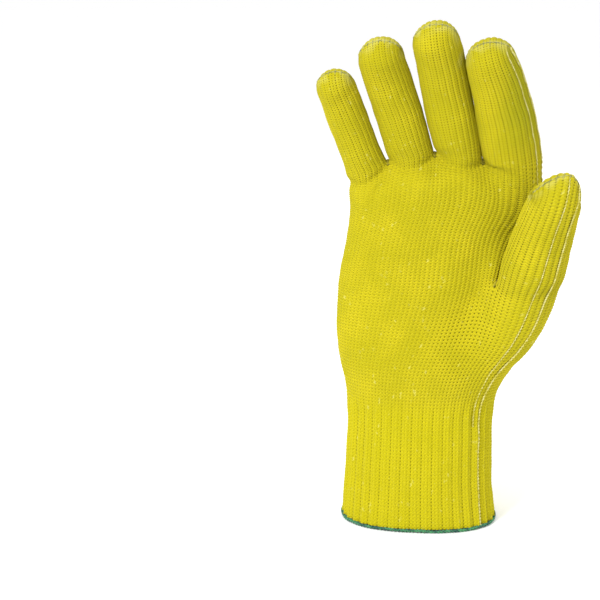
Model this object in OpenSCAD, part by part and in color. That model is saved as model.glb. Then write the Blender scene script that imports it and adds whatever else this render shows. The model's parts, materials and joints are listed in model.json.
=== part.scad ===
// Knitted cut-resistant glove for the right hand, standing on its cuff.
// +Z runs from the cuff rim to the fingertips, the palm faces -Y and the thumb is at +X.
// The origin is the centre of the cuff's mouth, in the plane of its rim.
// The fabric is knitted in sections: cuff, palm below and above the thumb, and five tubes.
// Each tube is cut at its joints into firm lengths and short bands that bend.

/* [Knit] */
// Thickness of the knitted fabric
knit_t = 1.5; // [1.2:0.1:1.7]
// Gap between sections of fabric that touch on the real glove
seam_gap = 0.3; // [0.2:0.05:0.4]
// Radius of the white edge yarn
yarn_r = 0.4; // [0.3:0.05:0.5]

/* [Cuff] */
// Half width of the cuff at its rim
rim_half_w = 37.5; // [36:0.5:39]
// Half depth of the cuff at its rim
rim_half_d = 27; // [26:0.5:29]
// Height of the overlocked edge
overlock_h = 2.0; // [2:0.1:4]
// Number of elastic threads inlaid in the cuff
elastic_count = 12; // [6:1:14]
// Height of the lowest elastic thread
elastic_z = 16; // [14:1:18]
// Spacing of the elastic threads
elastic_step = 3; // [2:0.25:3]

/* [Hand] */
// Height of the wrist's hinge axis
wrist_z = 62; // [60:1:64]
// Length of the fabric that bends at the wrist
wrist_band = 15; // [14:0.5:16]
// Height at which the thumb's tube leaves the palm
thumb_fork_z = 116; // [114:1:118]
// Height of the finger roots at the middle of the hand
finger_root_z = 180; // [178:1:182]
// How fast the finger roots drop towards the sides of the hand, in 1/mm
root_drop = 0.0075; // [0.006:0.0005:0.008]

/* [Fingers] */
// Forward curl of the fingers' lower, middle and tip lengths at rest, in degrees
finger_curl = [10, 24, 34]; // [0:1:60]
// Height of the base hinge above the finger root
base_pivot = 9; // [8:0.5:10]
// Height at which a finger's firm lower length starts
lower_start = 15.5; // [15:0.5:17]
// Place of the middle hinge, as a share of the finger's length
middle_share = 0.46; // [0.44:0.01:0.48]
// Place of the tip hinge, as a share of the finger's length
tip_share = 0.72; // [0.7:0.01:0.74]
// How far a hinge axis lies towards the palm, as a share of the half depth
pivot_share = 0.3; // [0.2:0.05:0.4]
// Half depth of a finger over its half width
finger_depth = 0.92; // [0.85:0.01:1]

/* [Thumb] */
// Centre of the thumb's root ring
thumb_root = [49, -15.5, 117.5]; // [-30:0.5:120]
// Length of the thumb from its root to its tip
thumb_len = 60; // [56:1:64]
// Sideways lean of the thumb, in degrees
thumb_lean = 13; // [10:1:16]
// Forward tilt of the thumb's lower and tip lengths at rest, in degrees
thumb_tilt = [16, 26]; // [10:1:30]
// Half widths of the thumb at its root, its hinge and below its tip
thumb_half_w = [15.5, 12.8, 11.2]; // [10:0.1:17]

/* [Hidden] */

knit_yellow = [0.85, 0.82, 0.10];
band_yellow = [0.78, 0.75, 0.08];
overlock_green = [0.15, 0.50, 0.30];
yarn_white = [0.90, 0.88, 0.75];

palm_sides = 36;
tube_sides = 18;
yarn_sides = 6;
// Exponent of the palm's ring: 1 is an ellipse, less is flatter across the palm
palm_square = 0.86;

cuff_top_z = wrist_z - wrist_band / 2;
palm_low_z = wrist_z + wrist_band / 2;
root_middle_x = 7;

// Stations up the hand: height, left edge, right edge, half depth, and how far the
// right edge is carried forward by the base of the thumb.
lower_stations = [
    [0, -rim_half_w, rim_half_w, rim_half_d, 0],
    [20, -36, 35.5, 25.5, 0],
    [40, -35.2, 35, 24.5, 0],
    [56, -35, 35.2, 24, 0],
    [66, -36, 37.5, 23.8, 1],
    [78, -38.8, 44, 23, 4],
    [90, -40.9, 53, 21.8, 8],
    [104, -41.5, 60.5, 20.2, 12],
    [thumb_fork_z, -41, 65, 18.8, 15],
];
upper_stations = [
    [thumb_fork_z, -41, 40, 17.6, -2],
    [130, -39.2, 44, 16.8, -1],
    [146, -36.4, 49, 15.8, 0],
    [160, -35.2, 53, 14.6, 0],
    [finger_root_z, -35.4, 55.6, 12.8, 0],
];

// Fingers: root x, root y, lean in degrees, length, and the half widths at the root,
// the middle hinge and below the tip.
little = [-26.2, 0, -18.4, 54.4, [9.2, 9.0, 8.7]];
ring = [-5.4, 0, -16, 62.2, [10.6, 10.6, 10.3]];
middle = [16.8, 0, -11, 69.0, [11.1, 11, 10.6]];
index = [42.4, 0, -12.4, 70.0, [12.8, 11.7, 10.2]];

function lerp(a, b, t) = a + (b - a) * t;
function signed_pow(v, e) = sign(v) * pow(abs(v), e);
function smooth(t) = let (c = min(1, max(0, t))) c * c * (3 - 2 * c);

// Value of one column of a station table at a height, on a smooth curve
function slope(table, i, col) =
    let (a = max(0, i - 1), b = min(len(table) - 1, i + 1))
    (table[b][col] - table[a][col]) / (table[b][0] - table[a][0]);
function segment(table, z, i = 0) =
    i >= len(table) - 2 || z < table[i + 1][0] ? i : segment(table, z, i + 1);
function station(table, z, col) =
    let (
        i = segment(table, z),
        span = table[i + 1][0] - table[i][0],
        t = (z - table[i][0]) / span,
        t2 = t * t,
        t3 = t2 * t
    )
    (2 * t3 - 3 * t2 + 1) * table[i][col] + (t3 - 2 * t2 + t) * span * slope(table, i, col)
    + (3 * t2 - 2 * t3) * table[i + 1][col] + (t3 - t2) * span * slope(table, i + 1, col);

// Point on the hand's ring at a height and an angle, set in by some thickness
function hand_point(table, z, angle, inset) =
    let (
        left = station(table, z, 1),
        right = station(table, z, 2),
        half_w = (right - left) / 2 - inset,
        half_d = station(table, z, 3) - inset,
        x = (left + right) / 2 + half_w * signed_pow(cos(angle), palm_square),
        forward = station(table, z, 4) * smooth((x + 5) / (right + 5))
    )
    [x, half_d * signed_pow(sin(angle), palm_square) - forward];

function hand_ring(table, z, inset) = [
    for (i = [0 : palm_sides - 1])
        let (p = hand_point(table, z, 360 * i / palm_sides, inset)) [p[0], p[1], z]
];

// Height of the finger roots above a place across the hand
function root_z(x) = finger_root_z - root_drop * pow(x - root_middle_x, 2);

// Ring of the upper palm, a share of the way from the thumb's fork to the finger roots
function upper_ring(share, inset) = [
    for (i = [0 : palm_sides - 1])
        let (
            angle = 360 * i / palm_sides,
            level = lerp(thumb_fork_z + seam_gap, finger_root_z, share),
            p = hand_point(upper_stations, level, angle, inset)
        )
        [p[0], p[1], lerp(thumb_fork_z + seam_gap, root_z(p[0]) - seam_gap, share)]
];

// Axes of a tube's ring: across, back and along, for a lean and a forward curl
function across(lean, curl) = [cos(lean), sin(lean) * sin(curl), -sin(lean) * cos(curl)];
function back(curl) = [0, cos(curl), sin(curl)];
function along(lean, curl) = [sin(lean), -cos(lean) * sin(curl), cos(lean) * cos(curl)];

function tube_ring(centre, lean, curl, half_w, half_d) = [
    for (i = [0 : tube_sides - 1])
        let (angle = 360 * i / tube_sides)
        centre + half_w * cos(angle) * across(lean, curl) + half_d * sin(angle) * back(curl)
];

// Skeleton of a finger: hinge centres and half widths along it
function finger_root(f) = [f[0], f[1], root_z(f[0])];
function hinge_at(f, i) = i == 0 ? base_pivot : f[3] * (i == 1 ? middle_share : tip_share);
function finger_centre(f, s) =
    let (
        a = hinge_at(f, 1),
        b = hinge_at(f, 2),
        root = finger_root(f)
    )
    root + min(s, a) * along(f[2], finger_curl[0])
    + max(0, min(s, b) - a) * along(f[2], finger_curl[1])
    + max(0, s - b) * along(f[2], finger_curl[2]);
function finger_half_w(f, s) =
    let (a = hinge_at(f, 1))
    s < a ? lerp(f[4][0], f[4][1], s / a) : lerp(f[4][1], f[4][2], (s - a) / (f[3] - a));

// Half lengths of the bands at the middle and tip hinges
function middle_band(f) = 0.57 * f[4][1];
function tip_band(f) = 0.38 * f[4][2];

function finger_ring(f, s, curl, inset) =
    let (half_w = finger_half_w(f, s))
    tube_ring(finger_centre(f, s), f[2], curl, half_w - inset, half_w * finger_depth - inset);

// Rings of a round end: the half width shrinks as a quarter circle towards the tip
function dome_rings(centre, lean, curl, half_w, inset, count) = [
    for (k = [0 : count - 1])
        let (
            last_angle = 84,
            a = last_angle * k / (count - 1),
            w = (half_w - inset) * cos(a),
            d = (half_w * finger_depth - inset) * cos(a),
            up = (half_w - inset) * sin(a)
        )
        tube_ring(centre + up * along(lean, curl), lean, curl, w, d)
];

// Side faces of an outer and an inner stack of m rings with n points each
function skin_faces(n, m) = [
    for (j = [0 : m - 2], i = [0 : n - 1])
        let (size = n * m, a = j * n + i, b = j * n + (i + 1) % n)
        each [
            [a, a + n, b + n], [a, b + n, b],
            [size + a, size + b + n, size + a + n], [size + a, size + b, size + b + n]
        ]
];

// Faces that join the lowest rings of the two stacks
function low_rim_faces(n, m) = [
    for (i = [0 : n - 1])
        let (size = n * m, k = (i + 1) % n)
        each [[i, k, size + k], [i, size + k, size + i]]
];

// Closed skin between an outer and an inner stack of rings, open at both ends
module sleeve(outer, inner) {
    n = len(outer[0]);
    m = len(outer);
    size = n * m;
    top = (m - 1) * n;
    high_rim = [
        for (i = [0 : n - 1])
            let (k = (i + 1) % n)
            each [
                [top + i, size + top + k, top + k], [top + i, size + top + i, size + top + k]
            ]
    ];
    polyhedron(
        points = [for (r = concat(outer, inner)) each r],
        faces = concat(skin_faces(n, m), low_rim_faces(n, m), high_rim)
    );
}

// Closed skin like sleeve(), with the last ring of each stack closed by a point
module closed_sleeve(outer, inner, outer_tip, inner_tip) {
    n = len(outer[0]);
    m = len(outer);
    size = n * m;
    top = (m - 1) * n;
    caps = [
        for (i = [0 : n - 1])
            let (k = (i + 1) % n)
            each [[top + i, 2 * size, top + k], [size + top + i, size + top + k, 2 * size + 1]]
    ];
    polyhedron(
        points = concat([for (r = concat(outer, inner)) each r], [outer_tip, inner_tip]),
        faces = concat(skin_faces(n, m), low_rim_faces(n, m), caps)
    );
}

// Round yarn swept along a list of points, with rings square to the path
module yarn(path, r) {
    m = len(path);
    rings = [
        for (j = [0 : m - 1])
            let (
                a = path[max(0, j - 1)],
                b = path[min(m - 1, j + 1)],
                t = (b - a) / norm(b - a),
                raw = cross(t, abs(t[1]) < 0.8 ? [0, 1, 0] : [1, 0, 0]),
                u = raw / norm(raw),
                v = cross(t, u)
            )
            [for (i = [0 : yarn_sides - 1])
                path[j] + r * (cos(360 * i / yarn_sides) * u + sin(360 * i / yarn_sides) * v)]
    ];
    n = yarn_sides;
    sides = [
        for (j = [0 : m - 2], i = [0 : n - 1])
            let (a = j * n + i, b = j * n + (i + 1) % n)
            each [[a, a + n, b + n], [a, b + n, b]]
    ];
    low = [for (i = [0 : n - 1]) i];
    high = [for (i = [n - 1 : -1 : 0]) (m - 1) * n + i];
    polyhedron(points = [for (r = rings) each r], faces = concat(sides, [low, high]));
}

// Flat ring of the cuff's outline between two insets, raised from a height
module cuff_hoop(z, h, outset, inset) {
    translate([0, 0, z])
        linear_extrude(height = h)
            difference() {
                polygon([for (p = hand_ring(lower_stations, z, -outset)) [p[0], p[1]]]);
                polygon([for (p = hand_ring(lower_stations, z, inset)) [p[0], p[1]]]);
            }
}

// ---- Cuff ----

module overlock_edge() {
    color(overlock_green) cuff_hoop(0, overlock_h, 0.4, knit_t + 0.4);
}

// Shell of the hand's outline between two heights
module hand_sleeve(z_low, z_high, steps) {
    levels = [for (k = [0 : steps]) lerp(z_low, z_high, k / steps)];
    sleeve(
        [for (z = levels) hand_ring(lower_stations, z, 0)],
        [for (z = levels) hand_ring(lower_stations, z, knit_t)]
    );
}

module cuff() { color(knit_yellow) hand_sleeve(overlock_h + 0.1, cuff_top_z, 7); }

module elastic_threads() {
    thread = 0.6;
    clear = knit_t + 0.35;
    color(yarn_white)
        for (k = [0 : elastic_count - 1])
            cuff_hoop(elastic_z + k * elastic_step, thread, -clear, clear + thread);
}

module wrist_band() {
    color(band_yellow) hand_sleeve(cuff_top_z + seam_gap, palm_low_z - seam_gap, 3);
}

// ---- Palm ----

module lower_palm() { color(knit_yellow) hand_sleeve(palm_low_z, thumb_fork_z, 8); }

module upper_palm() {
    steps = 8;
    color(knit_yellow)
        sleeve(
            [for (k = [0 : steps]) upper_ring(k / steps, 0)],
            [for (k = [0 : steps]) upper_ring(k / steps, knit_t)]
        );
}

// Half depth of the upper palm's ring at a place across the hand
function palm_half_depth(x, z) =
    let (
        left = station(upper_stations, z, 1),
        right = station(upper_stations, z, 2),
        out = abs(x - (left + right) / 2) / ((right - left) / 2)
    )
    station(upper_stations, z, 3) * pow(1 - pow(out, 2 / palm_square), palm_square / 2);

// Bar of crotch stitches that joins the palm to the back between two fingers
module finger_crotch(x) {
    stitch_r = 1.3;
    below_root = 3;
    half = palm_half_depth(x, root_z(x)) - knit_t - 0.9;
    color(knit_yellow)
        translate([x, 0, root_z(x) - below_root])
            rotate([90, 0, 0])
                cylinder(r = stitch_r, h = 2 * half, center = true, $fn = 24);
}

module crotch_little_ring() { finger_crotch(-17); }
module crotch_ring_middle() { finger_crotch(4.7); }
module crotch_middle_index() { finger_crotch(28.1); }

// The thumb's crotch stitches stand just below the fork, between palm and thumb
module crotch_thumb() {
    color(knit_yellow)
        translate([36.5, -9, thumb_fork_z - 3])
            rotate([90, 0, -50])
                cylinder(r = 1.4, h = 18, center = true, $fn = 24);
}

// ---- Fingers ----

// Band at a finger's base: its lower ring follows the palm's edge, its upper ring the tube
module base_band(f) {
    rings = function (inset) [
        for (k = [0 : 4])
            let (
                share = k / 4,
                s = share * (lower_start - seam_gap),
                straight = finger_ring(f, s, finger_curl[0], inset)
            )
            [for (p = straight)
                let (low = root_z(p[0]) + seam_gap)
                [p[0], p[1], lerp(low, p[2], smooth(share * 1.3))]]
    ];
    color(band_yellow) sleeve(rings(0), rings(knit_t));
}

// Shell of a finger between two places along it, with the curl at each
module finger_sleeve(f, start, stop, curl_a, curl_b, steps) {
    rings = function (inset) [
        for (k = [0 : steps])
            let (t = k / steps)
            finger_ring(f, lerp(start, stop, t), lerp(curl_a, curl_b, t), inset)
    ];
    sleeve(rings(0), rings(knit_t));
}

module lower_tube(f) {
    stop = hinge_at(f, 1) - middle_band(f);
    color(knit_yellow)
        finger_sleeve(f, lower_start, stop, finger_curl[0], finger_curl[0], 2);
}

module middle_tube(f) {
    start = hinge_at(f, 1) + middle_band(f);
    stop = hinge_at(f, 2) - tip_band(f);
    color(knit_yellow) finger_sleeve(f, start, stop, finger_curl[1], finger_curl[1], 2);
}

// Bands across the middle hinge and the tip hinge
module middle_bend(f) {
    half = middle_band(f) - seam_gap;
    at = hinge_at(f, 1);
    color(band_yellow) finger_sleeve(f, at - half, at + half, finger_curl[0], finger_curl[1], 4);
}

module tip_bend(f) {
    half = tip_band(f) - seam_gap;
    at = hinge_at(f, 2);
    color(band_yellow) finger_sleeve(f, at - half, at + half, finger_curl[1], finger_curl[2], 4);
}

// Closed end of a tube: a first ring, then a dome about a centre
module closed_end(first_outer, first_inner, centre, lean, curl, half_w) {
    dome_steps = 6;
    axis = along(lean, curl);
    closed_sleeve(
        concat([first_outer], dome_rings(centre, lean, curl, half_w, 0, dome_steps)),
        concat([first_inner], dome_rings(centre, lean, curl, half_w, knit_t, dome_steps)),
        centre + half_w * axis,
        centre + (half_w - knit_t) * axis
    );
}

module tip_tube(f) {
    start = hinge_at(f, 2) + tip_band(f);
    curl = finger_curl[2];
    half_w = f[4][2];
    color(knit_yellow)
        closed_end(
            finger_ring(f, start, curl, 0), finger_ring(f, start, curl, knit_t),
            finger_centre(f, f[3] - half_w), f[2], curl, half_w
        );
}

// Line of closing stitches over the round end of a tube, from side to side
module tip_closure(centre, lean, curl, half_w) {
    r = 0.6;
    reach = half_w + r + 0.15;
    color(yarn_white)
        yarn(
            [for (k = [0 : 6])
                let (a = lerp(-38, 38, k / 6))
                centre + reach * (sin(a) * across(lean, curl) + cos(a) * along(lean, curl))],
            r
        );
}

module finger_closure(f) {
    centre = finger_centre(f, f[3] - f[4][2]);
    tip_closure(centre, f[2], finger_curl[2], f[4][2]);
}

module little_base_band() { base_band(little); }
module little_lower() { lower_tube(little); }
module little_middle_band() { middle_bend(little); }
module little_middle() { middle_tube(little); }
module little_tip_band() { tip_bend(little); }
module little_tip() { tip_tube(little); }
module little_tip_stitch() { finger_closure(little); }

module ring_base_band() { base_band(ring); }
module ring_lower() { lower_tube(ring); }
module ring_middle_band() { middle_bend(ring); }
module ring_middle() { middle_tube(ring); }
module ring_tip_band() { tip_bend(ring); }
module ring_tip() { tip_tube(ring); }
module ring_tip_stitch() { finger_closure(ring); }

module middle_base_band() { base_band(middle); }
module middle_lower() { lower_tube(middle); }
module middle_middle_band() { middle_bend(middle); }
module middle_middle() { middle_tube(middle); }
module middle_tip_band() { tip_bend(middle); }
module middle_tip() { tip_tube(middle); }
module middle_tip_stitch() { finger_closure(middle); }

module index_base_band() { base_band(index); }
module index_lower() { lower_tube(index); }
module index_middle_band() { middle_bend(index); }
module index_middle() { middle_tube(index); }
module index_tip_band() { tip_bend(index); }
module index_tip() { tip_tube(index); }
module index_tip_stitch() { finger_closure(index); }

// ---- Thumb ----

thumb_lower_start = 16;
thumb_hinge = 0.56 * thumb_len;
thumb_band = 0.42 * thumb_half_w[1];

function thumb_centre(s) =
    thumb_root + min(s, thumb_hinge) * along(thumb_lean, thumb_tilt[0])
    + max(0, s - thumb_hinge) * along(thumb_lean, thumb_tilt[1]);
function thumb_width(s) =
    s < thumb_hinge ? lerp(thumb_half_w[0], thumb_half_w[1], smooth(s / thumb_hinge))
    : lerp(thumb_half_w[1], thumb_half_w[2], (s - thumb_hinge) / (thumb_len - thumb_hinge));
function thumb_ring(s, tilt, inset) =
    let (w = thumb_width(s))
    tube_ring(thumb_centre(s), thumb_lean, tilt, w - inset, w * finger_depth - inset);

module thumb_base_band() {
    floor_z = thumb_fork_z + seam_gap;
    rings = function (inset) [
        for (k = [0 : 4])
            let (
                share = k / 4,
                ring = thumb_ring(share * (thumb_lower_start - seam_gap), thumb_tilt[0], inset)
            )
            [for (p = ring) [p[0], p[1], lerp(floor_z, p[2], smooth(share * 1.3))]]
    ];
    color(band_yellow) sleeve(rings(0), rings(knit_t));
}

// Shell of the thumb between two places along it, with the tilt at each
module thumb_sleeve(start, stop, tilt_a, tilt_b, steps) {
    rings = function (inset) [
        for (k = [0 : steps])
            let (t = k / steps)
            thumb_ring(lerp(start, stop, t), lerp(tilt_a, tilt_b, t), inset)
    ];
    sleeve(rings(0), rings(knit_t));
}

module thumb_lower() {
    stop = thumb_hinge - thumb_band;
    color(knit_yellow)
        thumb_sleeve(thumb_lower_start, stop, thumb_tilt[0], thumb_tilt[0], 2);
}

module thumb_joint_band() {
    half = thumb_band - seam_gap;
    color(band_yellow)
        thumb_sleeve(thumb_hinge - half, thumb_hinge + half, thumb_tilt[0], thumb_tilt[1], 4);
}

module thumb_tip() {
    start = thumb_hinge + thumb_band;
    half_w = thumb_half_w[2];
    tilt = thumb_tilt[1];
    color(knit_yellow)
        closed_end(
            thumb_ring(start, tilt, 0), thumb_ring(start, tilt, knit_t),
            thumb_centre(thumb_len - half_w), thumb_lean, tilt, half_w
        );
}

module thumb_tip_stitch() {
    centre = thumb_centre(thumb_len - thumb_half_w[2]);
    tip_closure(centre, thumb_lean, thumb_tilt[1], thumb_half_w[2]);
}

// ---- White edge yarn ----

yarn_stand = yarn_r + 0.15;

// Yarn on the hand's rings between two heights, at angles that change along it
module hand_yarn(z_low, z_high, angle_low, angle_high, steps) {
    color(yarn_white)
        yarn(
            [for (k = [0 : steps])
                let (
                    t = k / steps,
                    z = lerp(z_low, z_high, t),
                    p = hand_point(lower_stations, z, lerp(angle_low, angle_high, t), -yarn_stand)
                )
                [p[0], p[1], z]],
            yarn_r
        );
}

module yarn_cuff() { hand_yarn(overlock_h + 1, cuff_top_z - 0.5, -37, -37, 9); }
module yarn_palm() { hand_yarn(palm_low_z + 0.5, thumb_fork_z - 0.5, -33, -24, 9); }

// Yarn up the outer side of a finger between two places along it
module finger_yarn(f, start, stop, curl, angle) {
    path = [
        for (k = [0 : 3])
            let (
                s = lerp(start, stop, k / 3),
                w = finger_half_w(f, s) + yarn_stand,
                d = finger_half_w(f, s) * finger_depth + yarn_stand
            )
            finger_centre(f, s) + w * cos(angle) * across(f[2], curl)
            + d * sin(angle) * back(curl)
    ];
    color(yarn_white) yarn(path, yarn_r);
}

module yarn_index_lower() {
    finger_yarn(index, lower_start + 0.5, hinge_at(index, 1) - middle_band(index) - 0.5,
        finger_curl[0], -25);
}

module yarn_index_middle() {
    finger_yarn(index, hinge_at(index, 1) + middle_band(index) + 0.5,
        hinge_at(index, 2) - tip_band(index) - 0.5, finger_curl[1], -25);
}

module yarn_index_tip() {
    finger_yarn(index, hinge_at(index, 2) + tip_band(index) + 0.5,
        index[3] - index[4][2], finger_curl[2], -25);
}

// Yarn up the outer side of the thumb between two places along it
module thumb_yarn(start, stop, tilt) {
    angle = -30;
    path = [
        for (k = [0 : 4])
            let (
                s = lerp(start, stop, k / 4),
                w = thumb_width(s) + yarn_stand,
                d = thumb_width(s) * finger_depth + yarn_stand
            )
            thumb_centre(s) + w * cos(angle) * across(thumb_lean, tilt)
            + d * sin(angle) * back(tilt)
    ];
    color(yarn_white) yarn(path, yarn_r);
}

module yarn_thumb_lower() {
    thumb_yarn(thumb_lower_start + 0.5, thumb_hinge - thumb_band - 0.5, thumb_tilt[0]);
}

module yarn_thumb_tip() {
    thumb_yarn(thumb_hinge + thumb_band + 0.5, thumb_len - thumb_half_w[2], thumb_tilt[1]);
}

overlock_edge();
cuff();
elastic_threads();
wrist_band();
lower_palm();
upper_palm();
crotch_little_ring();
crotch_ring_middle();
crotch_middle_index();
crotch_thumb();
little_base_band();
little_lower();
little_middle_band();
little_middle();
little_tip_band();
little_tip();
little_tip_stitch();
ring_base_band();
ring_lower();
ring_middle_band();
ring_middle();
ring_tip_band();
ring_tip();
ring_tip_stitch();
middle_base_band();
middle_lower();
middle_middle_band();
middle_middle();
middle_tip_band();
middle_tip();
middle_tip_stitch();
index_base_band();
index_lower();
index_middle_band();
index_middle();
index_tip_band();
index_tip();
index_tip_stitch();
thumb_base_band();
thumb_lower();
thumb_joint_band();
thumb_tip();
thumb_tip_stitch();
yarn_cuff();
yarn_palm();
yarn_thumb_lower();
yarn_thumb_tip();
yarn_index_lower();
yarn_index_middle();
yarn_index_tip();
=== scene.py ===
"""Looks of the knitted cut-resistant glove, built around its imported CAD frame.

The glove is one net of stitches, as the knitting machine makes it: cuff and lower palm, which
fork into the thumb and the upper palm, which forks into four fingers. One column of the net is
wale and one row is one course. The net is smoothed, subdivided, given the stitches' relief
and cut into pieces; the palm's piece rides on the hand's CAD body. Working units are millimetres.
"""

import json
import math

import bpy
import numpy as np
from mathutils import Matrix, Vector, noise


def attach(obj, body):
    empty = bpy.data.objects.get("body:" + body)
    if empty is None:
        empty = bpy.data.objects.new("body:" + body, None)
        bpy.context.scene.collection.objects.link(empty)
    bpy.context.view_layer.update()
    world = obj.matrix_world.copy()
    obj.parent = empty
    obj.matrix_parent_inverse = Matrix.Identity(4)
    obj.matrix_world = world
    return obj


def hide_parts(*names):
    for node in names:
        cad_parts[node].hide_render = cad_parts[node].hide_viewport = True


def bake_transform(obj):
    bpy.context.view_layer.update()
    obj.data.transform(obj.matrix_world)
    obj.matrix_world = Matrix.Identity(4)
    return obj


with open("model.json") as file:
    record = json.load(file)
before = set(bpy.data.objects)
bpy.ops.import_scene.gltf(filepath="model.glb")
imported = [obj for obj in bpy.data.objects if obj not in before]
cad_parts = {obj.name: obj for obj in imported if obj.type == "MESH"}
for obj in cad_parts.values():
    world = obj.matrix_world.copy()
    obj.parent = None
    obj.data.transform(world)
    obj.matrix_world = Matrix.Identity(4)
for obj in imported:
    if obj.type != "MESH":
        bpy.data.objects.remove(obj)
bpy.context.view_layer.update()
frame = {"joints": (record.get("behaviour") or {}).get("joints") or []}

MM = 0.001
JOINTS = {joint["name"]: joint for joint in frame["joints"]}

# ---- Driving dimensions, the same as the CAD model's ----

FORK_Z = 116.0  # height at which the thumb leaves the palm
ROOT_Z = 180.0  # height of the finger roots at the middle of the hand
ROOT_DROP = 0.0075  # how fast the roots drop towards the sides, in 1/mm
ROOT_X = 7.0
PALM_SQUARE = 0.86  # exponent of the hand's ring: 1 is an ellipse
FINGER_DEPTH = 0.92  # half depth of a tube over its half width
CURL = (10.0, 24.0, 34.0)
MIDDLE_SHARE, TIP_SHARE = 0.46, 0.72

# Height, left edge, right edge, half depth, and how far the right edge is carried forward
LOWER_STATIONS = np.array([
    [0, -37.5, 37.5, 27, 0],
    [20, -36, 35.5, 25.5, 0],
    [40, -35.2, 35, 24.5, 0],
    [56, -35, 35.2, 24, 0],
    [66, -36, 37.5, 23.8, 1],
    [78, -38.8, 44, 23, 4],
    [90, -40.9, 53, 21.8, 8],
    [104, -41.5, 60.5, 20.2, 12],
    [FORK_Z, -41, 65, 18.8, 15],
], float)
UPPER_STATIONS = np.array([
    [FORK_Z, -41, 40, 17.6, -2],
    [130, -39.2, 44, 16.8, -1],
    [146, -36.4, 49, 15.8, 0],
    [160, -35.2, 54.6, 14.6, 0],
    [ROOT_Z, -35.6, 56.8, 12.8, 0],
], float)

# Root x, lean in degrees, length, half widths at the root, the middle hinge and the tip,
# the wales on its front (as many again are on its back), and how far it leans less at its tip
FINGERS = {
    "little": (-26.2, -18.4, 54.8, (9.4, 9.1, 8.7), 9, 4.0),
    "ring": (-5.4, -16.0, 62.3, (10.7, 10.6, 10.3), 11, 3.0),
    "middle": (16.7, -11.1, 69.0, (11.1, 11.0, 10.4), 11, 2.0),
    "index": (42.2, -12.7, 70.2, (13.8, 13.0, 10.2), 12, -6.0),
}
DEEPEST = 12.0  # half width above which a finger gets no deeper
THUMB_ROOT = np.array([49.0, -15.5, 117.5])
THUMB_LENGTH = 60.0
THUMB_LEAN = 13.0
THUMB_TILT = (16.0, 26.0)
THUMB_WIDTHS = (15.5, 12.9, 10.8)
THUMB_HINGE = 0.56 * THUMB_LENGTH
FULLNESS = 1.05  # makes up for what smoothing the net takes off a tube
BEND_REACH = 8.0  # half the length over which a tube's centre line bends at a hinge

# A rounded tip: its height over its half width, how sharply it narrows, and how far its
# highest place is to the right
FINGERTIP = (0.95, 1.0, 0.0)
THUMBTIP = (1.42, 1.9, 0.3)
TIP_FLANKS = 0.95  # how low the dome is at its sides: 1 is down to the shoulder
TIP_NARROWING = 0.07  # share of its width that the dome loses
DOME_TURN = math.radians(84)  # how far the dome turns before it is closed

# ---- The net's counts ----

HAND_COURSES = ((0, 60, 90, 140, 180), (1.66, 1.66, 1.5, 1.38, 1.3))  # heights and courses there
TUBE_COURSES = ((0.0, 1.0), (1.15, 1.5))  # shares of a tube's length and its courses there
FRONT_TO_FORK = 38  # wales from the little finger's edge to the thumb's crotch, in front
THUMB_WALES = 22  # wales that go up the thumb
BACK_TO_FORK = 40  # wales from the thumb's crotch back to the little finger's edge
FORK_ARC = 8  # wales cast on across the thumb's crotch
CROTCH_ARC = 3  # wales cast on across a finger's crotch
FORK_ARC_RISE, CROTCH_ARC_RISE = 3.0, 0.8
YARN_WALE = 47  # the wale in which the white yarn runs up to the thumb
YARN_SHARE = 0.405  # its place, as a share of the cuff's outline
SIDE_WALE = 62  # a wale behind the cuff's right side
SIDE_SHARE = 0.545
WALE_SPREAD = 0.125  # a tube's wales are twice this share wider in front and behind
GATHER_Z = 66.0  # height from which the wales gather for the thumb
CUFF_SPLIT_Z = 80.0  # height at which the cuff's piece ends
RIM_Z = 1.8  # where the fabric starts, inside the overlocked edge
CUFF_TOP_Z = 62.0  # the wrist, where the ribs end
LEVELS = 2  # subdivisions of the net


# ---- Small functions ----

def new_object(name, data):
    thing = bpy.data.objects.new(name, data)
    bpy.context.scene.collection.objects.link(thing)
    return thing


def smooth(t):
    t = np.clip(t, 0.0, 1.0)
    return t * t * (3.0 - 2.0 * t)


def ramp(value, start, end):
    """A smooth step from 0 at start to 1 at end."""
    return smooth((value - start) / (end - start))


def lerp(a, b, t):
    return a + (b - a) * t


def signed_power(v, e):
    return np.sign(v) * np.abs(v) ** e


def station(table, z):
    """All columns of a station table at a height, on a smooth curve."""
    i = int(np.clip(np.searchsorted(table[:, 0], z, side="right") - 1, 0, len(table) - 2))
    span = table[i + 1, 0] - table[i, 0]
    t = (z - table[i, 0]) / span

    def slope(k):
        a, b = max(0, k - 1), min(len(table) - 1, k + 1)
        return (table[b] - table[a]) / (table[b, 0] - table[a, 0])

    return ((2 * t**3 - 3 * t**2 + 1) * table[i] + (t**3 - 2 * t**2 + t) * span * slope(i)
            + (3 * t**2 - 2 * t**3) * table[i + 1] + (t**3 - t**2) * span * slope(i + 1))


def hand_outline(table, z, degrees=180 + np.arange(0.0, 360.0, 0.5)):
    """Points of the hand's ring at a height, as rows of x and y."""
    _, left, right, half_d, forward = station(table, z)
    a = np.radians(degrees)
    x = (left + right) / 2 + (right - left) / 2 * signed_power(np.cos(a), PALM_SQUARE)
    y = half_d * signed_power(np.sin(a), PALM_SQUARE) - forward * ramp(x, -5, right)
    return np.column_stack([x, y])


def oval(centre, half_w, half_d, degrees):
    """Points of an ellipse around a centre, as rows of x and y."""
    a = np.radians(degrees)
    return np.array(centre) + np.column_stack([half_w * np.cos(a), half_d * np.sin(a)])


def interpolated(wanted, known, rows):
    """The rows of a table at wanted places between the known ones."""
    return np.column_stack([np.interp(wanted, known, column) for column in rows.T])


def arc_fractions(points):
    """Share of a closed line's length at each of its points."""
    steps = np.linalg.norm(np.roll(points, -1, 0) - points, axis=1)
    return np.concatenate([[0.0], np.cumsum(steps)[:-1]]) / steps.sum()


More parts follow.
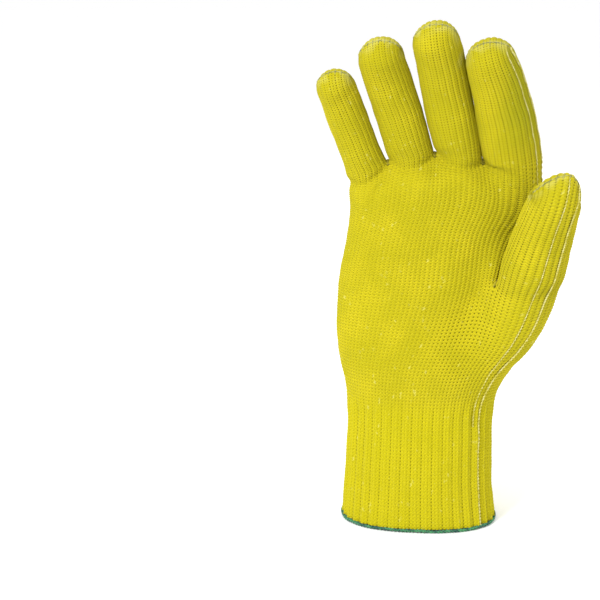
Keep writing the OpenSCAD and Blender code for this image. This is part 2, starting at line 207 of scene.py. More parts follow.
def at_fractions(points, fractions):
    """Points of a closed line at shares of its length."""
    known = np.append(arc_fractions(points), 1.0)
    return interpolated(fractions, known, np.vstack([points, points[:1]]))


def even_points(points, count):
    """An open line cut into count equal lengths, as count + 1 points."""
    steps = np.linalg.norm(np.diff(points, axis=0), axis=1)
    known = np.concatenate([[0.0], np.cumsum(steps)])
    return interpolated(np.linspace(0, known[-1], count + 1), known, points)


def course_places(start, end, heights, courses):
    """Places from start to end, spaced by the course height that's wanted at each."""
    fine = np.linspace(start, end, 400)
    steps = np.diff(fine) / np.interp(fine[1:], heights, courses)
    count = np.concatenate([[0.0], np.cumsum(steps)])
    return np.interp(np.linspace(0, count[-1], round(count[-1]) + 1), count, fine)


def spread(degrees):
    """Angles moved so that wales are wider at a tube's front and back than at its sides."""
    return degrees - math.degrees(WALE_SPREAD) * np.sin(2 * np.radians(degrees))


def root_height(x):
    return ROOT_Z - ROOT_DROP * (x - ROOT_X) ** 2


# A tube's directions at a place, from its lean to the side and its curl forward

def across(lean, curl):
    l, c = math.radians(lean), math.radians(curl)
    return np.array([math.cos(l), math.sin(l) * math.sin(c), -math.sin(l) * math.cos(c)])


def backward(curl):
    c = math.radians(curl)
    return np.array([0.0, math.cos(c), math.sin(c)])


def along(lean, curl):
    l, c = math.radians(lean), math.radians(curl)
    return np.array([math.sin(l), -math.cos(l) * math.sin(c), math.cos(l) * math.cos(c)])


# ---- The net ----

def stitch_corners(wale, course):
    """Stitch coordinates of a face's four corners."""
    return (wale, course), (wale + 1, course), (wale + 1, course + 1), (wale, course + 1)


class Net:
    """Vertices and faces of the glove's stitches, with each face's piece and coordinates."""

    def __init__(self):
        self.points, self.faces, self.stitches, self.pieces = [], [], [], []

    def add(self, points):
        """Adds points and returns their numbers."""
        start = len(self.points)
        self.points.extend(np.asarray(points, float))
        return list(range(start, len(self.points)))

    def knit(self, low, high, course, piece):
        """One course of quads between two closed rows with as many vertices."""
        n = len(low)
        for j in range(n):
            k = (j + 1) % n
            self.faces.append((low[j], low[k], high[k], high[j]))
            self.stitches.append(stitch_corners(j, course))
            self.pieces.append(piece)

    def close(self, row, angles, course, piece):
        """Closes a tube's flattened last row, front to back. Returns the pairs it joins."""
        height = np.sin(np.radians(angles))
        order = np.argsort(np.cos(np.radians(angles)))
        front = [row[i] for i in order if height[i] < -1e-6]
        behind = [row[i] for i in order if height[i] > 1e-6]
        ends = [row[i] for i in order if abs(height[i]) <= 1e-6]
        loops = [(f0, f1, b1, b0) for f0, f1, b0, b1
                 in zip(front, front[1:], behind, behind[1:])]
        for end in ends:
            left = self.points[end][0] < self.points[front[1]][0]
            loops.append((end, front[0], behind[0]) if left else (front[-1], end, behind[-1]))
        for j, loop in enumerate(loops):
            self.faces.append(loop)
            self.stitches.append(stitch_corners(j, course)[:len(loop)])
            self.pieces.append(piece)
        return list(zip(front, behind))


PARTS = {name: ("base", "middle", "tip") for name in FINGERS}
PARTS["thumb"] = ("base", "tip")
PIECES = ["knit_cuff", "knit_palm"]
PIECES += [f"knit_{name}_{part}" for name, parts in PARTS.items() for part in parts]
PIECE = {name: i for i, name in enumerate(PIECES)}

net = Net()
junctions = []  # vertices around which the net is relaxed


class Tube:
    """The rows of one tube, the piece between each two rows, and the pairs its end joins."""

    def __init__(self):
        self.rows, self.pieces, self.pairs = [], [], []


tubes = {name: Tube() for name in ("hand", "thumb", *FINGERS)}

def cast_on(front, back, count, rise):
    """New stitches over a crotch, between two stitches of a row. Returns their numbers."""
    a, b = (np.array(net.points[i]) for i in (front, back))
    t = np.arange(1, count)[:, None] / count
    arc = net.add(a + (b - a) * t + np.array([0, 0, rise]) * np.sin(math.pi * t))
    junctions.extend(arc + [front, back])
    return arc


FORK_FRONT = np.array([33.5, -17.5])  # the thumb's crotch in front
FORK_BACK = np.array([44.0, 3.5])  # and behind
FORK_RISE, FORK_RISE_REACH = 8.0, 14.0


def fork_rise(points):
    """How far the fork's row rises towards the thumb's crotch."""
    far = np.linalg.norm(points - (FORK_FRONT + FORK_BACK) / 2, axis=1)
    return FORK_RISE * np.exp(-(far / FORK_RISE_REACH) ** 2)


def fork_outline():
    """The row at the thumb's fork: the palm's ring and the thumb's ring run into each other."""
    front = hand_outline(UPPER_STATIONS, FORK_Z, np.arange(180.0, 312.0, 1.0))
    half_w = THUMB_WIDTHS[0]
    thumb = oval(THUMB_ROOT[:2], half_w, half_w * FINGER_DEPTH, np.arange(202.0, 452.0, 2.0))
    back = hand_outline(UPPER_STATIONS, FORK_Z, np.arange(390.0, 541.0, 1.0))
    front = even_points(np.vstack([front, FORK_FRONT]), FRONT_TO_FORK)
    thumb = even_points(np.vstack([FORK_FRONT, thumb, FORK_BACK]), THUMB_WALES)
    back = even_points(np.vstack([FORK_BACK, back]), BACK_TO_FORK)
    ring = np.vstack([front[:-1], thumb[:-1], back[:-1]])
    for _ in range(4):
        ring = (np.roll(ring, 1, 0) + 2 * ring + np.roll(ring, -1, 0)) / 4
    return ring


def knit_lower_hand():
    """Cuff and lower palm. Returns the fork's row."""
    count = FRONT_TO_FORK + THUMB_WALES + BACK_TO_FORK
    fork = fork_outline()
    fork_share = arc_fractions(fork)
    start = hand_outline(LOWER_STATIONS, FORK_Z)
    offset = fork - at_fractions(start, fork_share)
    rise = fork_rise(fork)
    even = np.interp(np.arange(count), [0, YARN_WALE, SIDE_WALE, count],
                     [0, YARN_SHARE, SIDE_SHARE, 1])
    for _ in range(30):
        even[1:-1] = (even[:-2] + 2 * even[1:-1] + even[2:]) / 4
    rows = []
    for k, z in enumerate(course_places(RIM_Z, FORK_Z, *HAND_COURSES)):
        w = float(ramp(z, GATHER_Z, FORK_Z))
        ring = at_fractions(hand_outline(LOWER_STATIONS, z), lerp(even, fork_share, w))
        ring = ring + w**2 * offset
        rows.append(net.add(np.column_stack([ring, z + w**2 * rise])))
        if k:
            piece = "knit_cuff" if z < CUFF_SPLIT_Z else "knit_palm"
            net.knit(rows[-2], rows[-1], k - 1, PIECE[piece])
            tubes["hand"].pieces.append(piece)
    tubes["hand"].rows = rows
    return rows[-1]


def finger_angles(name):
    """First angle and step of a finger's wales: front from left to right, crotch, then back."""
    front = FINGERS[name][4]
    sides = CROTCH_ARC * (1 if name in ("little", "index") else 2)
    step = 360.0 / (2 * front + sides)
    first = {"little": 180.0, "index": 180 + step * CROTCH_ARC / 2}
    return first.get(name, 270 - step * front / 2), step


ROOT_DEPTH = 1.04  # how much deeper the row at the roots is than the fingers


def root_outline():
    """The row at the finger roots: four rings side by side, pinched at the crotches."""
    fronts, backs = [], []
    for name, (root_x, _, _, widths, front, _) in FINGERS.items():
        first, step = finger_angles(name)
        right_arc = 0 if name == "index" else CROTCH_ARC
        half_d = min(widths[0], DEEPEST) * FINGER_DEPTH * ROOT_DEPTH
        for start, lines in ((0, fronts), (front + right_arc, backs)):
            degrees = spread(first + step * (start + np.arange(front + 1)))
            lines.append(oval((root_x, 0), widths[0], half_d, degrees))
    backs.reverse()
    ring = []
    for lines in (fronts, backs):
        for i, line in enumerate(lines):
            if i + 1 < len(lines):
                line[-1] = lines[i + 1][0] = (line[-1] + lines[i + 1][0]) / 2
            ring.append(line[:-1])
    return np.vstack(ring)


# Shares of the palm's height at which its ring begins to turn into the fingers' rings: where
# it isn't pinched between two fingers, and where it's pinched this deep
PINCH_STARTS, PINCH_DEPTH = (0.45, 0.78), 5.0


def knit_upper_palm(fork):
    """Palm above the thumb. Returns the row at the finger roots and the thumb's crotch arc."""
    back_start = FRONT_TO_FORK + THUMB_WALES
    arc = cast_on(fork[FRONT_TO_FORK], fork[back_start], FORK_ARC, FORK_ARC_RISE)
    low = fork[:FRONT_TO_FORK + 1] + arc + fork[back_start:]
    low_points = np.array([net.points[i] for i in low])
    low_share = arc_fractions(low_points[:, :2])
    low_offset = low_points[:, :2] - at_fractions(hand_outline(UPPER_STATIONS, FORK_Z), low_share)
    root = root_outline()
    root_share = arc_fractions(root)
    root_offset = root - at_fractions(hand_outline(UPPER_STATIONS, ROOT_Z), root_share)
    pinch = np.abs((root - root_offset)[:, 1]) - np.abs(root[:, 1])
    start = lerp(*PINCH_STARTS, ramp(pinch, 0, PINCH_DEPTH))[:, None]
    heights = course_places(FORK_Z, ROOT_Z, *HAND_COURSES)
    rows = [low]
    for k in range(1, len(heights)):
        t = (heights[k] - FORK_Z) / (ROOT_Z - FORK_Z)
        share = lerp(low_share, root_share, float(smooth(t)))
        outline = hand_outline(UPPER_STATIONS, lerp(FORK_Z, ROOT_Z, t))
        ring = (at_fractions(outline, share) + (1 - ramp(t, 0, 0.5)) * low_offset
                + ramp(t, start, 1) * root_offset)
        z = lerp(low_points[:, 2], root_height(ring[:, 0]), t)
        rows.append(net.add(np.column_stack([ring, z])))
        net.knit(rows[-2], rows[-1], 100 + k, PIECE["knit_palm"])
    return rows[-1], arc


def tube_line(root, lean, bow, length, hinges, curls, step=0.25):
    """Places along a tube, bent smoothly at its hinges, with the centre, lean and curl at each."""
    s = np.arange(0, length + step, step)
    leans = lean - bow * (1 - 2 * s / length)
    curl = np.full(len(s), curls[0])
    for hinge, before, after in zip(hinges, curls, curls[1:]):
        curl = curl + (after - before) * ramp(s - hinge, -BEND_REACH, BEND_REACH)
    centres = [np.array(root, float)]
    for k in range(1, len(s)):
        centres.append(centres[-1] + step * along(leans[k], (curl[k] + curl[k - 1]) / 2))
    return s, np.array(centres), leans, curl


def knit_tube(name, ring, angles, root, lean, bow, length, hinges, curls, widths, cuts, settle):
    """A finger or the thumb, from its root row to its closed tip."""
    s_line, centres, leans, curl_line = tube_line(root, lean, bow, length, hinges, curls)
    cos, sin = np.cos(np.radians(angles)), np.sin(np.radians(angles))

    def loop(s, wide=1.0, deep=1.0, ahead=0.0):
        """The ring at a place, its width and depth scaled and its points carried ahead."""
        centre = np.array([np.interp(s, s_line, column) for column in centres.T])
        curl, leaning = (float(np.interp(s, s_line, line)) for line in (curl_line, leans))
        half_w = float(np.interp(s, [0, hinges[0], length], widths)) * FULLNESS
        half_d = half_w if name == "thumb" else min(half_w, DEEPEST * FULLNESS)
        return (centre + half_w * wide * np.outer(cos, across(leaning, curl))
                + half_d * FINGER_DEPTH * deep * np.outer(sin, backward(curl))
                + np.outer(ahead * np.ones(len(cos)), along(leaning, curl)))

    tip_height, sharpness, peak = THUMBTIP if name == "thumb" else FINGERTIP
    tip_w = widths[2]
    shoulder = length - FINGERTIP[0] * tip_w
    dome_h = tip_height * tip_w
    dome = round(tip_w * math.pi / 2 / TUBE_COURSES[1][-1])
    offset = np.array([net.points[i] for i in ring]) - loop(0.0)
    rows, places = [ring], [0.0]
    courses = (np.array(TUBE_COURSES[0]) * length, TUBE_COURSES[1])
    for s in course_places(0, shoulder, *courses)[1:]:
        rows.append(net.add(loop(s) + offset * (1 - ramp(s, 0, settle))))
        places.append(s)
    off_peak = (cos - peak) / (1 - peak * np.sign(cos - peak))
    height = dome_h * np.sqrt(1 - (TIP_FLANKS * off_peak) ** 2) ** sharpness
    for k in range(1, dome + 1):
        a = DOME_TURN * k / dome
        wide = 1 - TIP_NARROWING * math.sin(a)
        rows.append(net.add(loop(shoulder, wide, math.cos(a), height * math.sin(a))))
        places.append(shoulder + dome_h * math.sin(a))
    tube = tubes[name]
    tube.rows = rows
    for k in range(1, len(rows)):
        part = sum(places[k] > cut for cut in cuts)
        tube.pieces.append(f"knit_{name}_{PARTS[name][part]}")
        net.knit(rows[k - 1], rows[k], 200 + k, PIECE[tube.pieces[-1]])
    tube.pairs = net.close(rows[-1], angles, 200 + len(rows), PIECE[f"knit_{name}_tip"])


finger_arcs = []  # the vertices over each finger crotch, from front to back


def knit_fingers(root_row):
    starts = [0, *np.cumsum([finger[4] for finger in FINGERS.values()]).tolist()]
    around = 2 * starts[-1]
    arcs = [[]]
    for start in starts[1:-1]:
        front, back = root_row[start], root_row[around - start]
        arcs.append(cast_on(front, back, CROTCH_ARC, CROTCH_ARC_RISE))
        finger_arcs.append([front, *arcs[-1], back])
    arcs.append([])
    closed = root_row + root_row[:1]
    for i, (name, (root_x, lean, length, widths, front, bow)) in enumerate(FINGERS.items()):
        back_start = around - starts[i + 1]
        ring = (closed[starts[i]:starts[i + 1] + 1] + arcs[i + 1]
                + closed[back_start:back_start + front + 1] + arcs[i][::-1])
        if name == "little":
            ring = ring[:-1]
        if name == "index":
            del ring[front]
        first, step = finger_angles(name)
        angles = spread(first + step * np.arange(len(ring)))
        hinges = (MIDDLE_SHARE * length, TIP_SHARE * length)
        knit_tube(name, ring, angles, (root_x, 0, root_height(root_x)), lean, bow, length,
                  hinges, CURL, widths, finger_cuts(name), 9.0)


def finger_zones(name):
    """Half lengths over which the fabric turns at the middle hinge and the tip hinge."""
    half_w = FINGERS[name][3][1]
    return 0.82 * half_w, 0.66 * half_w


def finger_cuts(name):
    """Places along a finger where its pieces meet, between the lengths that turn."""
    length = FINGERS[name][2]
    middle, tip = MIDDLE_SHARE * length, TIP_SHARE * length
    zone_middle, zone_tip = finger_zones(name)
    return (middle - zone_middle - 0.6, (middle + zone_middle + tip - zone_tip) / 2)


THUMB_CUTS = (THUMB_HINGE - 10.5,)

fork_row = knit_lower_hand()
root_row, fork_arc = knit_upper_palm(fork_row)
knit_fingers(root_row)
thumb_arc = [fork_row[FRONT_TO_FORK], *fork_arc, fork_row[FRONT_TO_FORK + THUMB_WALES]]
thumb_ring = fork_row[FRONT_TO_FORK:FRONT_TO_FORK + THUMB_WALES + 1] + fork_arc[::-1]
knit_tube("thumb", thumb_ring, spread(196 + 12.0 * np.arange(len(thumb_ring))), THUMB_ROOT,
          THUMB_LEAN, 0.0, THUMB_LENGTH, (THUMB_HINGE,), THUMB_TILT, THUMB_WIDTHS, THUMB_CUTS, 15.0)


def relax(points, edges, weights, rounds):
    """Pulls each point towards the middle of its neighbours, as far as its weight says."""
    degree = np.bincount(edges.ravel(), minlength=len(points))[:, None]
    for _ in range(rounds):
        total = np.zeros_like(points)
        np.add.at(total, edges[:, 0], points[edges[:, 1]])
        np.add.at(total, edges[:, 1], points[edges[:, 0]])
        points = points + weights[:, None] * (total / degree - points)
    return points


RELAXED, RELAXED_MORE = 0.08, 0.5  # everywhere, and what is added at a crotch
RELAX_REACH = 11.0  # how far from a crotch that fades


def relaxed_points():
    points = np.array(net.points)
    edges = {tuple(sorted((f[i], f[(i + 1) % len(f)])))
             for f in net.faces for i in range(len(f))}
    edges = np.array(sorted(edges))
    near = np.full(len(points), 1e9)
    for vertex in junctions:
        near = np.minimum(near, np.linalg.norm(points - points[vertex], axis=1))
    weights = RELAXED + RELAXED_MORE * np.exp(-(near / RELAX_REACH) ** 2)
    weights[tubes["hand"].rows[0]] = 0
    for tube in tubes.values():
        weights[[i for pair in tube.pairs for i in pair]] = 0
    return relax(points, edges, weights, 10)


points = relaxed_points()

# ---- From net to fabric ----

def net_mesh():
    """The net as a mesh, with stitch coordinates as UV map and the piece as material index."""
    mesh = bpy.data.meshes.new("net")
    mesh.from_pydata(points.tolist(), [], net.faces)
    mesh.uv_layers.new(name="Knit")
    uv = np.array([corner for face in net.stitches for corner in face], np.float32)
    mesh.uv_layers["Knit"].data.foreach_set("uv", uv.ravel())
    for _ in PIECES:
        mesh.materials.append(None)
    mesh.polygons.foreach_set("material_index", np.array(net.pieces, np.int32))
    mesh.update()
    return mesh


def subdivided(mesh):
    """The mesh after Catmull-Clark subdivision."""
    thing = new_object("net", mesh)
    modifier = thing.modifiers.new("subdivide", "SUBSURF")
    modifier.levels = LEVELS
    modifier.uv_smooth = "NONE"
    bpy.context.view_layer.update()
    graph = bpy.context.evaluated_depsgraph_get()
    result = bpy.data.meshes.new_from_object(thing.evaluated_get(graph))
    bpy.data.objects.remove(thing)
    return result


def read(items, name, width, kind=np.float32):
    values = np.empty(len(items) * width, kind)
    items.foreach_get(name, values)
    return values.reshape(-1, width) if width > 1 else values


fabric = subdivided(net_mesh())
co = read(fabric.vertices, "co", 3).astype(float)
normal = read(fabric.vertices, "normal", 3).astype(float)
corner_vertex = read(fabric.loops, "vertex_index", 1, np.int32)
corner_uv = read(fabric.uv_layers["Knit"].data, "uv", 2)
face_start = read(fabric.polygons, "loop_start", 1, np.int32)
face_piece = read(fabric.polygons, "material_index", 1, np.int32)


def blob(co, centre, size):
    """A soft patch on the fabric: 1 at its centre, fading over its size."""
    d = (co - np.array(centre, float)) / np.array(size, float)
    return np.exp(-(d**2).sum(axis=1))


def patches(co, table, start=0.0):
    """The sum of soft patches, each given as its weight, centre and size."""
    return sum((weight * blob(co, centre, size) for weight, centre, size in table), start)


def crease_height(x):
    """Height of the crease across the palm side of the finger roots, lower under each finger."""
    drop = np.zeros_like(x)
    for root_x, _, _, widths, *_ in FINGERS.values():
        drop = np.maximum(drop, 4.2 * (1 - ((x - root_x) / widths[0]) ** 2))
    return root_height(x) - drop


def noise_at(co, scale, seed):
    """Smooth noise between -1 and 1 at points in millimetres."""
    shift = Vector((seed * 17.3, seed * 5.1, seed * 9.7))
    return np.array([noise.noise(Vector(p) / scale + shift) for p in co])


def near_closing(co):
    """1 at the seams that close the fingers and the thumb, fading over the tips."""
    near = np.zeros(len(co))
    for name in (*FINGERS, "thumb"):
        for f, b in tubes[name].pairs:
            far = np.linalg.norm(co - (co[f] + co[b]) / 2, axis=1)
            near = np.maximum(near, np.exp(-(far / 4.0) ** 2))
    return near


# Soft patches of the palm side, as weight, centre and size
OPENED_AND_SHADED = (
    # These two stand for painted shade: more dark between the stitches in the hollow beside the
    # ball of the thumb and in the valley up from the thumb's crotch
    (0.9, (22, -22, 90), (16, 14, 22)),
    (0.9, (40, -16, 140), (12, 14, 26)),
    # These two open the stitches wider on the palm
    (0.35, (30, -16, 165), (26, 12, 14)),
    (0.3, (18, -18, 148), (30, 16, 30)),
)
SWOLLEN = (
    (1.2, (50, -26, 96), (13, 12, 20)),  # the ball of the thumb
    (-2.0, (24, -22, 88), (9, 12, 24)),  # the hollow beside it
    (-0.9, (0, -22, 128), (14, 12, 26)),  # the middle of the palm
)
THUMB_FAN = ((60, -22, 112), (14, 20, 22))  # where the thumb's ribs fan out, centre and size
PAD_SIZE = (9.5, 14, 6.5)  # of the pad under each finger
PAD_DEPTH, PAD_DROP = 14, 11  # its place in front of and below the root

# How deep the ribs are and how far the stitches are open, from 0 to 1
RIBBED = {"finger": 0.7, "thumb": 0.55, "cuff": 0.35}
OPEN = {"palm": 0.38, "finger": 0.95, "back": 0.85, "thumb": 0.5, "cuff": 0.45}


class Look:
    """What the fabric is like at each vertex: where it's ribbed, stretched open or folded."""

    def __init__(self, co, normal):
        x, _, z = co.T
        is_hand = np.isin(vertex_piece, [PIECE["knit_cuff"], PIECE["knit_palm"]])
        is_thumb = np.isin(vertex_piece, [PIECE["knit_thumb_base"], PIECE["knit_thumb_tip"]])
        above = z - crease_height(x)
        near_root = (x < 60) & (z > 150) & ~is_thumb
        pads = sum(blob(co, (f[0], -PAD_DEPTH, root_height(f[0]) - PAD_DROP), PAD_SIZE)
                   for f in FINGERS.values()) * ramp(x, 46, 26)
        crease = np.exp(-(above / 2.2) ** 2) * near_root * ramp(x, 34, 26)

        self.front = smooth(0.5 - 0.9 * normal[:, 1])
        self.cuff = ramp(z, CUFF_TOP_Z + 6, CUFF_TOP_Z - 6)
        self.finger = np.where(near_root, ramp(above, -1.5, 1.5), 0.0)
        self.thumb = np.where(is_thumb, 1.0, blob(co, *THUMB_FAN) * is_hand)
        self.tip = near_closing(co)
        self.fine = (self.finger > 0.5).astype(float)
        self.calm = np.maximum(self.cuff, 0.6 * ramp(z, 104, 64))
        self.edge = ramp(np.abs(x), 12, 32)
        # Painted shade on the index finger, stronger where it faces the front, with a slightly
        # greener tint
        self.index_shade = (ramp(x, 30, 44) * ramp(z, 174, 202) * (0.3 + 0.7 * self.front)
                     * ~is_thumb)
        self.swell = patches(
            co, SWOLLEN, self.front * (1.6 * pads - 1.5 * crease) * ~is_thumb)

        back = 1 - self.front
        left_half = 0.5 + 0.5 * ramp(normal[:, 0], -0.6, 0.0)
        left_half = np.where(near_root & (self.finger > 0.5), left_half, 1.0)
        self.rib = left_half * np.maximum.reduce([
            RIBBED["finger"] * self.front * self.finger, RIBBED["thumb"] * self.thumb,
            RIBBED["cuff"] * self.cuff])
        opened = np.clip(np.maximum.reduce([
            OPEN["palm"] + patches(co, OPENED_AND_SHADED) * self.front,
            OPEN["finger"] * self.front * self.finger * left_half,
            OPEN["back"] * back * (1 - self.cuff), OPEN["thumb"] * self.thumb,
            OPEN["cuff"] * self.cuff]), 0, 1)
        opened = opened * (1 - 0.6 * np.clip(pads, 0, 1) * self.front * (1 - self.finger))
        gathered = np.exp(-((self.tip - 0.62) / 0.16) ** 2) * self.front
        self.open = np.clip(opened + 0.5 * gathered, 0, 1)


RIB_DEPTHS = (0.42, 0.62)  # of the relief of plain fabric and of full ribs
FOLD_DEPTHS = (0.22, 0.6)  # of the cuff's folds, at its middle and at its sides
LADDER_DEPTH, FINE_DEPTH = 0.30, 0.16  # of a finger's wales and of the halves of each
SLANT_DEPTH = 0.34  # of the stitches' slanting legs


def relief(u, v, look):
    """Height of the stitches: ribs along the wales, and each stitch's two slanting legs."""
    wale = 0.5 - 0.5 * np.cos(2 * math.pi * u)
    fine_u = u * (1 + look.fine)
    fine_wale = 0.5 - 0.5 * np.cos(2 * math.pi * fine_u)
    side = np.abs(2 * (fine_u - np.floor(fine_u)) - 1)
    leg = 0.5 + 0.5 * np.cos(2 * math.pi * (v + 0.5 * side))
    every_third = np.cos(2 * math.pi * u / 3)
    rib_depth = lerp(*RIB_DEPTHS, look.rib) * (1 - 0.8 * look.fine) * (1 - 0.45 * look.cuff)
    fold = look.cuff * lerp(*FOLD_DEPTHS, look.edge) * every_third
    ladder = look.fine * (LADDER_DEPTH * (wale - 0.5) + FINE_DEPTH * (fine_wale - 0.5))
    slant = SLANT_DEPTH * (1 - 0.6 * look.calm) * (leg - 0.5) * (0.5 + 0.5 * wale)
    ribs = rib_depth * (wale ** lerp(0.8, 0.5, look.rib) - 0.6)
    return (ribs + ladder + slant) * (1 - 0.75 * look.tip) - fold


vertex_uv = np.zeros((len(co), 2))
vertex_uv[corner_vertex] = corner_uv
vertex_piece = np.zeros(len(co), np.int32)
vertex_piece[corner_vertex] = np.repeat(face_piece, 4)
look = Look(co, normal)
folds = 0.5 * noise_at(co, 16.0, 1) + 0.22 * noise_at(co, 5.5, 2)
co = co + normal * (look.swell + folds)[:, None]
skin = co.copy()  # the fabric's middle, for what is sewn onto it
outward = normal
co = co + normal * relief(vertex_uv[:, 0], vertex_uv[:, 1], look)[:, None]


def pieces_of(co):
    """Cuts the fabric into its pieces, each a mesh object with its stitch coordinates."""
    fabric.vertices.foreach_set("co", co.astype(np.float32).ravel())
    fabric.update()
    facing = read(fabric.vertices, "normal", 3)
    for number, name in enumerate(PIECES):
        faces = np.nonzero(face_piece == number)[0]
        corners = (face_start[faces][:, None] + np.arange(4)).ravel()
        vertices, local = np.unique(corner_vertex[corners], return_inverse=True)
        mesh = bpy.data.meshes.new(name)
        mesh.vertices.add(len(vertices))
        mesh.vertices.foreach_set("co", (co[vertices] * MM).astype(np.float32).ravel())
        mesh.loops.add(len(corners))
        mesh.loops.foreach_set("vertex_index", local.astype(np.int32).ravel())
        mesh.polygons.add(len(faces))
        mesh.polygons.foreach_set("loop_start", (4 * np.arange(len(faces))).astype(np.int32))
        mesh.uv_layers.new(name="Knit")
        mesh.uv_layers["Knit"].data.foreach_set("uv", corner_uv[corners].ravel())
        mesh.update(calc_edges=True)
        mesh.shade_smooth()
        for attribute in ("rib", "open", "cuff", "fine", "tip", "index_shade"):
            layer = mesh.attributes.new(attribute, "FLOAT", "POINT")
            values = getattr(look, attribute)[vertices]
            layer.data.foreach_set("value", values.astype(np.float32))
        mesh.normals_split_custom_set_from_vertices(facing[vertices])
        yield name, new_object(name, mesh)


knit = dict(pieces_of(co))

# ---- Materials ----

class Graph:
    """Short names for building a material's nodes."""

    def __init__(self, name):
        self.material = bpy.data.materials.new(name)
        self.material.use_nodes = True
        self.tree = self.material.node_tree
        self.shader = self.tree.nodes["Principled BSDF"]

    def put(self, socket, value):
        if isinstance(value, bpy.types.NodeSocket):
            self.tree.links.new(value, socket)
        elif isinstance(value, tuple) and len(value) == 3 and len(socket.default_value) == 4:
            socket.default_value = (*value, 1)
        else:
            socket.default_value = value

    def node(self, kind, *values, output=0, **settings):
        """An output of a new node with these settings and first inputs."""
        node = self.tree.nodes.new("ShaderNode" + kind)
        for name, setting in settings.items():
            setattr(node, name, setting)
        for socket, value in zip(node.inputs, values):
            self.put(socket, value)
        return node.outputs[output]

    def calc(self, operation, a, b=0.0, c=0.0, clamp=False):
        return self.node("Math", a, b, c, operation=operation, use_clamp=clamp)

    def times(self, value, *factors):
        for factor in factors:
            value = self.calc("MULTIPLY", value, factor)
        return value

    def scaled(self, value, factor, start):
        return self.calc("MULTIPLY_ADD", value, factor, start)

    def wave(self, value, height=0.5, middle=0.5, period=1):
        """A cosine around middle, with a crest at 0."""
        turn = self.times(value, 2 * math.pi / period)
        return self.scaled(self.calc("COSINE", turn), height, middle)

    def ramp(self, value, low, high, to_low=0.0, to_high=1.0):
        """A smooth step from to_low to to_high as the value goes from low to high."""
        return self.node("MapRange", value, low, high, to_low, to_high,
                         interpolation_type="SMOOTHSTEP")

    def mix(self, share, a, b):
        node = self.tree.nodes.new("ShaderNodeMix")
        node.data_type = "RGBA"
        for socket, value in (("Factor", share), (6, a), (7, b)):
            self.put(node.inputs[socket], value)
        return node.outputs[2]

    def attribute(self, name):
        return self.node("Attribute", attribute_name=name, output="Fac")

    def noise(self, vector, scale, detail=3.0):
        node = self.tree.nodes.new("ShaderNodeTexNoise")
        for socket, value in (("Vector", vector), ("Scale", scale), ("Detail", detail)):
            self.put(node.inputs[socket], value)
        return node.outputs[0]

    def place(self):
        return self.node("TexCoord", output="Object")

    def set(self, **values):
        for name, value in values.items():
            self.put(self.shader.inputs[name.replace("_", " ")], value)
        return self.material

    def bump(self, height, distance):
        node = self.tree.nodes.new("ShaderNodeBump")
        self.put(node.inputs["Strength"], 1.0)
        self.put(node.inputs["Distance"], distance)
        self.put(node.inputs["Height"], height)
        self.put(self.shader.inputs["Normal"], node.outputs[0])


THIN_YELLOW, THICK_YELLOW = (0.43, 0.375, 0.0045), (0.515, 0.438, 0.008)
ODD_YELLOW = (0.405, 0.37, 0.006)  # of single stitches
CUFF_YELLOW = (0.485, 0.428, 0.002)
# Painted shade of the index finger, a little greener than the rest of the yarn
INDEX_SHADE_YELLOW = (0.345, 0.328, 0.005)
FUZZ, PALE_FIBRE = (0.62, 0.59, 0.17), (0.72, 0.67, 0.17)
# Painted shade, seen in the gaps between the stitches, in the grooves and where legs cross
SHADE_BETWEEN_STITCHES = (0.085, 0.075, 0.001)


